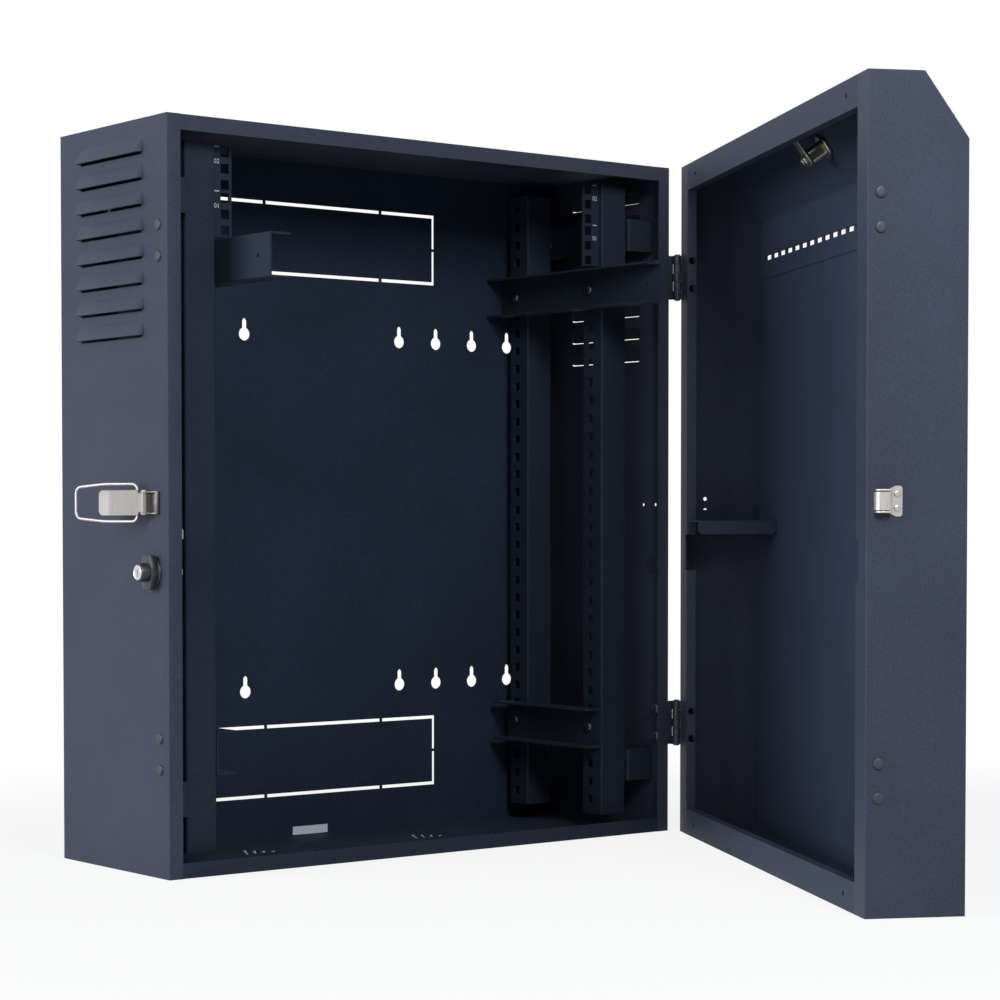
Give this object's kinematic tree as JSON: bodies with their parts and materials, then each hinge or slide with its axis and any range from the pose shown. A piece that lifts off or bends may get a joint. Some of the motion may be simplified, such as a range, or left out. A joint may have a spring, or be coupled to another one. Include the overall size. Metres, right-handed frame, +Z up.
{
  "type": "wall mount network cabinet",
  "caption": "Shallow wall-mounted network cabinet with a deep tray door swung open on side hinges, vertical rails, unit strips, channels, side latch and cam locks.",
  "frame": {"origin": "middle of the rear face, on the wall", "axes": "+X to the cabinet's right as seen from the front, where the door's hinges are; +Y back into the wall; +Z up"},
  "size_m": [0.7721, 0.8259, 0.73],
  "materials": {
    "cabinet_paint": "fine textured powder coat",
    "door_paint": "fine textured powder coat",
    "rail_paint": "fine textured powder coat",
    "hinge_black": "satin black",
    "zinc": "bright zinc plate",
    "nickel": "nickel plate",
    "black_plastic": "moulded"
  },
  "bodies": {
    "case": {"side_panel_left": "cabinet_paint", "side_panel_right": "cabinet_paint", "top_panel": "cabinet_paint", "floor_panel": "cabinet_paint", "back_panel": "cabinet_paint", "side_bar_upper_left": "rail_paint", "side_bar_upper_right": "rail_paint", "side_bar_lower_left": "rail_paint", "side_bar_lower_right": "rail_paint", "rail_front_left": "rail_paint", "rail_front_right": "rail_paint", "rail_rear_left": "rail_paint", "rail_rear_right": "rail_paint", "unit_strip_left": "rail_paint", "unit_strip_right": "rail_paint", "channel_upper_left": "rail_paint", "channel_upper_right": "rail_paint", "channel_lower_left": "rail_paint", "channel_lower_right": "rail_paint", "channel_screws": "zinc", "channel_nuts": "zinc", "rail_bolts": "zinc", "rail_nuts": "zinc", "hinge_case_screws": "hinge_black", "hinge_case_nuts": "zinc", "case_plugs": "black_plastic", "hinge_case_leaf_upper": "hinge_black", "hinge_case_leaf_lower": "hinge_black", "hinge_pin_upper": "hinge_black", "hinge_pin_lower": "hinge_black", "latch_bracket": "nickel", "latch_rivets": "zinc", "latch_pin": "nickel", "side_lock_body": "black_plastic", "side_lock_nut": "zinc", "side_lock_plug": "black_plastic"},
    "door": {"door_front": "door_paint", "door_side_free": "door_paint", "door_side_hinge": "door_paint", "vent_cover": "door_paint", "door_gusset": "door_paint", "hinge_door_leaf_upper": "hinge_black", "hinge_door_leaf_lower": "hinge_black", "hinge_door_screws": "hinge_black", "hinge_door_nuts": "hinge_black", "door_plugs": "black_plastic", "latch_keeper": "nickel", "keeper_rivets": "zinc", "top_lock_body": "nickel", "top_lock_nut": "zinc"},
    "latch_lever": {"latch_lever": "nickel"},
    "latch_bail": {"latch_bail": "nickel"},
    "side_knob": {"side_knob": "black_plastic", "side_cam": "zinc", "side_cam_screw": "zinc"},
    "side_key": {"side_key_plug": "nickel"},
    "top_lock": {"top_lock_plug": "nickel", "top_lock_cam": "zinc", "top_lock_cam_nut": "zinc"}
  },
  "joints": [
    {"name": "door_hinge", "type": "hinge", "parent": "case", "child": "door", "pos_m": [0.32975, -0.2085, 0], "axis": [0, 0, 1], "range_deg": [-62.2, 117.6]},
    {"name": "latch_lever_turn", "type": "hinge", "parent": "case", "child": "latch_lever", "pos_m": [-0.32755, -0.1764, -0.0043], "axis": [0, 0, 1], "range_deg": [-10, 140]},
    {"name": "latch_bail_turn", "type": "hinge", "parent": "latch_lever", "child": "latch_bail", "pos_m": [-0.32929, -0.16655, -0.0043], "axis": [0, 0, -1], "range_deg": [-160, 20]},
    {"name": "side_knob_turn", "type": "hinge", "parent": "case", "child": "side_knob", "pos_m": [-0.31925, -0.181, -0.071], "axis": [-1, 0, 0], "range_deg": [-90, 0]},
    {"name": "side_key_turn", "type": "hinge", "parent": "side_knob", "child": "side_key", "pos_m": [-0.33725, -0.181, -0.071], "axis": [-1, 0, 0], "range_deg": [0, 90]},
    {"name": "top_lock_turn", "type": "hinge", "parent": "door", "child": "top_lock", "pos_m": [0.23442, -0.53101, 0.34588], "axis": [0.7229, -0.3811, 0.5763], "range_deg": [0, 90]}
  ]
}
